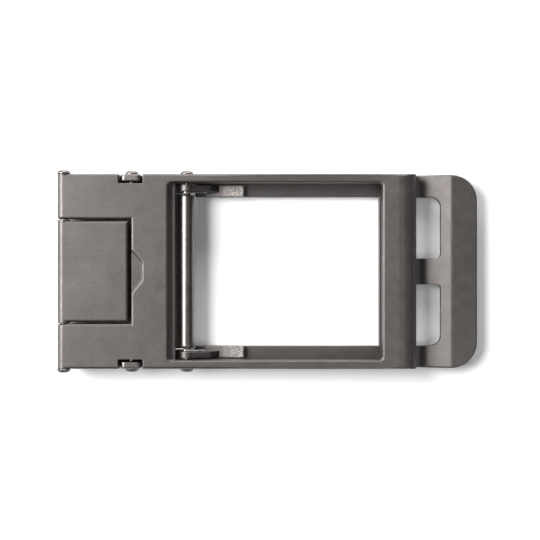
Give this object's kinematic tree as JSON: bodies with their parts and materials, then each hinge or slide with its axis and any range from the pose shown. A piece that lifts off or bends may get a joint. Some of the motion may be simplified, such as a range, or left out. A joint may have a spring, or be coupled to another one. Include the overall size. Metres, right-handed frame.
{
  "type": "belt buckle",
  "caption": "Open-frame ratchet belt buckle with a lift-up strap clamp flap, a sprung front lever, a roller and a fixed tooth under the crossbar.",
  "frame": {"origin": "on the plane of the lever's front face, below the middle of the buckle's outline", "axes": "+X along the belt from the clamp end to the lever end, +Y across the belt, +Z towards the wearer (the back of the buckle)"},
  "size_m": [0.0896, 0.0428, 0.0081],
  "materials": {
    "satin_casting": "satin gunmetal plating on a cast body",
    "plated_steel": "gunmetal plated steel, slightly brighter than the castings",
    "tray_sheet": "gunmetal plated pressed sheet",
    "spring_wire": "bright spring wire"
  },
  "bodies": {
    "frame": {"frame": "satin_casting", "flap_hinge_pin": "plated_steel", "lever_pivot_pin": "plated_steel", "clamp_tray": "tray_sheet", "tray_rivets": "plated_steel", "spring_upper": "spring_wire", "spring_lower": "spring_wire"},
    "flap": {"clamp_flap": "satin_casting"},
    "lever": {"lever": "satin_casting"},
    "roller": {"roller": "plated_steel"}
  },
  "joints": [
    {"name": "flap_hinge", "type": "hinge", "parent": "frame", "child": "flap", "pos_m": [-0.04335, 0, 0.0067], "axis": [0, -1, 0], "range_deg": [0, 110]},
    {"name": "lever_hinge", "type": "hinge", "parent": "frame", "child": "lever", "pos_m": [-0.0174, 0, 0.0046], "axis": [0, 1, 0], "range_deg": [0, 35], "deforming": ["spring_upper", "spring_lower"]},
    {"name": "roller_spin", "type": "hinge", "parent": "frame", "child": "roller", "pos_m": [-0.0174, 0, 0.0046], "axis": [0, 1, 0], "continuous": true}
  ]
}
